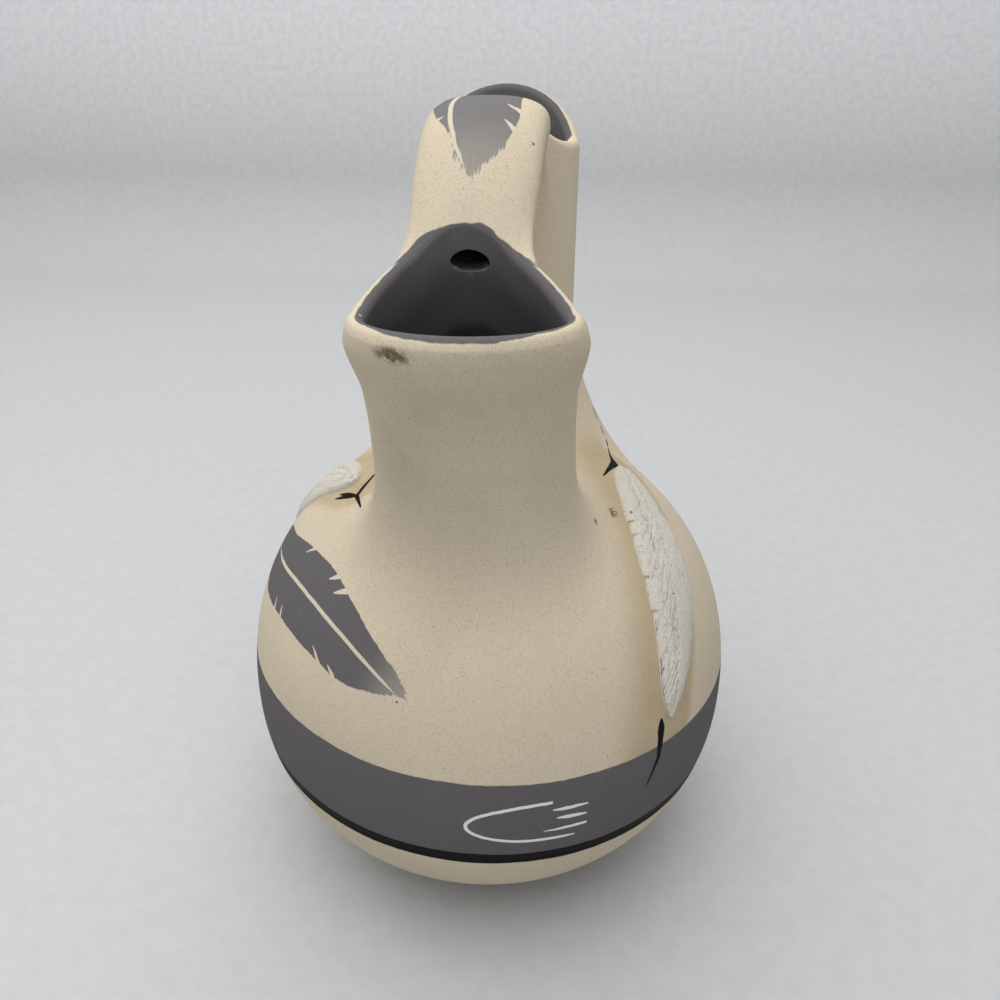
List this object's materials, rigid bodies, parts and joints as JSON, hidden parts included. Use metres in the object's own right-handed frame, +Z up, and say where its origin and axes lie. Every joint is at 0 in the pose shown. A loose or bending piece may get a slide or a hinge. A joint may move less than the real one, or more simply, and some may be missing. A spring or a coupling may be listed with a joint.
{
  "type": "wedding vase",
  "caption": "Round-bodied clay wedding vase: a low front spout and a taller back spout joined by a hollow strap handle, with raised clay feathers on the shoulder and a flat base to stand on.",
  "frame": {"origin": "middle of the flat resting face under the pot, on the pot's axis", "axes": "+Z up along the pot's axis, -Y towards the low front spout, +Y towards the tall back spout, +X to the right of someone who faces the front spout"},
  "size_m": [0.15, 0.15, 0.229],
  "materials": {
    "cream_clay": "matt unglazed cream clay with grey and black painted bands",
    "white_clay": "matt rough white clay"
  },
  "bodies": {
    "root": {"base_disc": "cream_clay", "lower_bowl": "cream_clay", "upper_shoulder": "cream_clay", "crown_dome": "cream_clay", "front_spout": "cream_clay", "back_spout": "cream_clay", "strap_handle": "cream_clay", "raised_feather_right": "white_clay", "raised_feather_left": "white_clay"}
  },
  "joints": []
}
